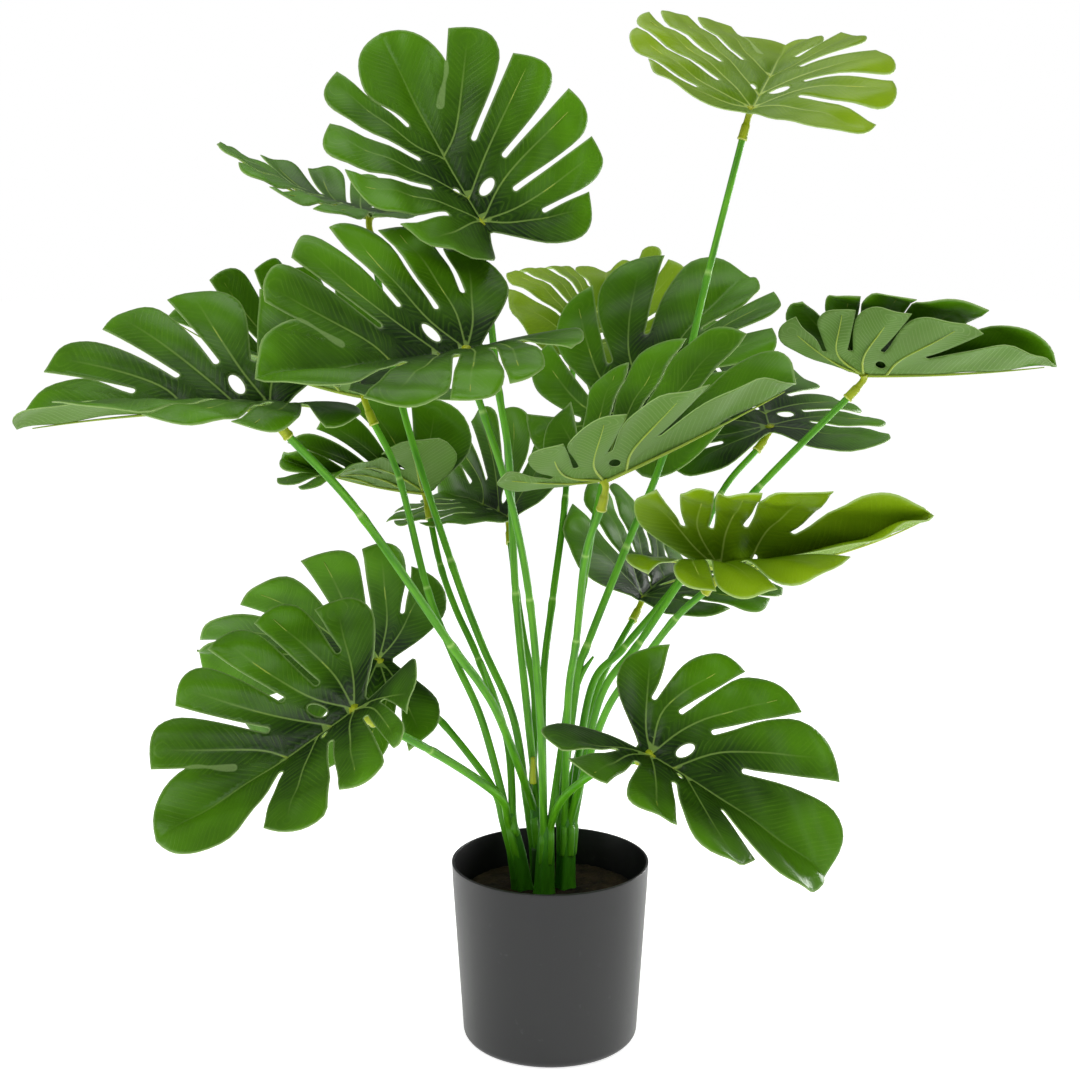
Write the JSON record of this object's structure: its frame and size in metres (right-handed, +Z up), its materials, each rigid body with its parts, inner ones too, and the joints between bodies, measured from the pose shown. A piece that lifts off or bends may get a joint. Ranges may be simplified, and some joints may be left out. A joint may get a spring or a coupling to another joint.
{
  "type": "potted monstera plant",
  "caption": "Artificial monstera with split leaves on long moulded stems, set in a plain round tapered pot.",
  "frame": {"origin": "centre of the pot's flat underside", "axes": "+Z up along the pot's axis, -Y towards the front of the plant, +X to its right"},
  "size_m": [0.6281, 0.5534, 0.724],
  "materials": {
    "pot_plastic": "satin charcoal moulded plastic",
    "filling_cement": "rough dark cement with soil dressing",
    "stem_plastic": "satin green moulded plastic",
    "stalk_plastic": "satin yellow-green moulded plastic",
    "leaf_dark": "dark green leaf film with printed veins",
    "leaf_pale": "light green leaf film with printed veins"
  },
  "bodies": {
    "root": {"pot": "pot_plastic", "filling": "filling_cement", "trunk_left": "stem_plastic", "trunk_back": "stem_plastic", "trunk_front": "stem_plastic", "trunk_right": "stem_plastic", "stem_top_centre": "stem_plastic", "stalk_top_centre": "stalk_plastic", "leaf_top_centre": "leaf_dark", "stem_top_right": "stem_plastic", "stalk_top_right": "stalk_plastic", "leaf_top_right": "leaf_pale", "stem_upper_left": "stem_plastic", "stalk_upper_left": "stalk_plastic", "leaf_upper_left": "leaf_dark", "stem_centre_left": "stem_plastic", "stalk_centre_left": "stalk_plastic", "leaf_centre_left": "leaf_dark", "stem_far_left": "stem_plastic", "stalk_far_left": "stalk_plastic", "leaf_far_left": "leaf_dark", "stem_back_left": "stem_plastic", "stalk_back_left": "stalk_plastic", "leaf_back_left": "leaf_dark", "stem_lower_back_left": "stem_plastic", "stalk_lower_back_left": "stalk_plastic", "leaf_lower_back_left": "leaf_dark", "stem_low_centre": "stem_plastic", "stalk_low_centre": "stalk_plastic", "leaf_low_centre": "leaf_dark", "stem_back_right": "stem_plastic", "stalk_back_right": "stalk_plastic", "leaf_back_right": "leaf_dark", "stem_back_light": "stem_plastic", "stalk_back_light": "stalk_plastic", "leaf_back_light": "leaf_pale", "stem_centre_right": "stem_plastic", "stalk_centre_right": "stalk_plastic", "leaf_centre_right": "leaf_dark", "stem_right": "stem_plastic", "stalk_right": "stalk_plastic", "leaf_right": "leaf_dark", "stem_right_back": "stem_plastic", "stalk_right_back": "stalk_plastic", "leaf_right_back": "leaf_dark", "stem_light_right": "stem_plastic", "stalk_light_right": "stalk_plastic", "leaf_light_right": "leaf_pale", "stem_right_back_low": "stem_plastic", "stalk_right_back_low": "stalk_plastic", "leaf_right_back_low": "leaf_dark", "stem_low_left": "stem_plastic", "stalk_low_left": "stalk_plastic", "leaf_low_left": "leaf_dark", "stem_low_left_back": "stem_plastic", "stalk_low_left_back": "stalk_plastic", "leaf_low_left_back": "leaf_dark", "stem_low_right": "stem_plastic", "stalk_low_right": "stalk_plastic", "leaf_low_right": "leaf_dark"}
  },
  "joints": []
}
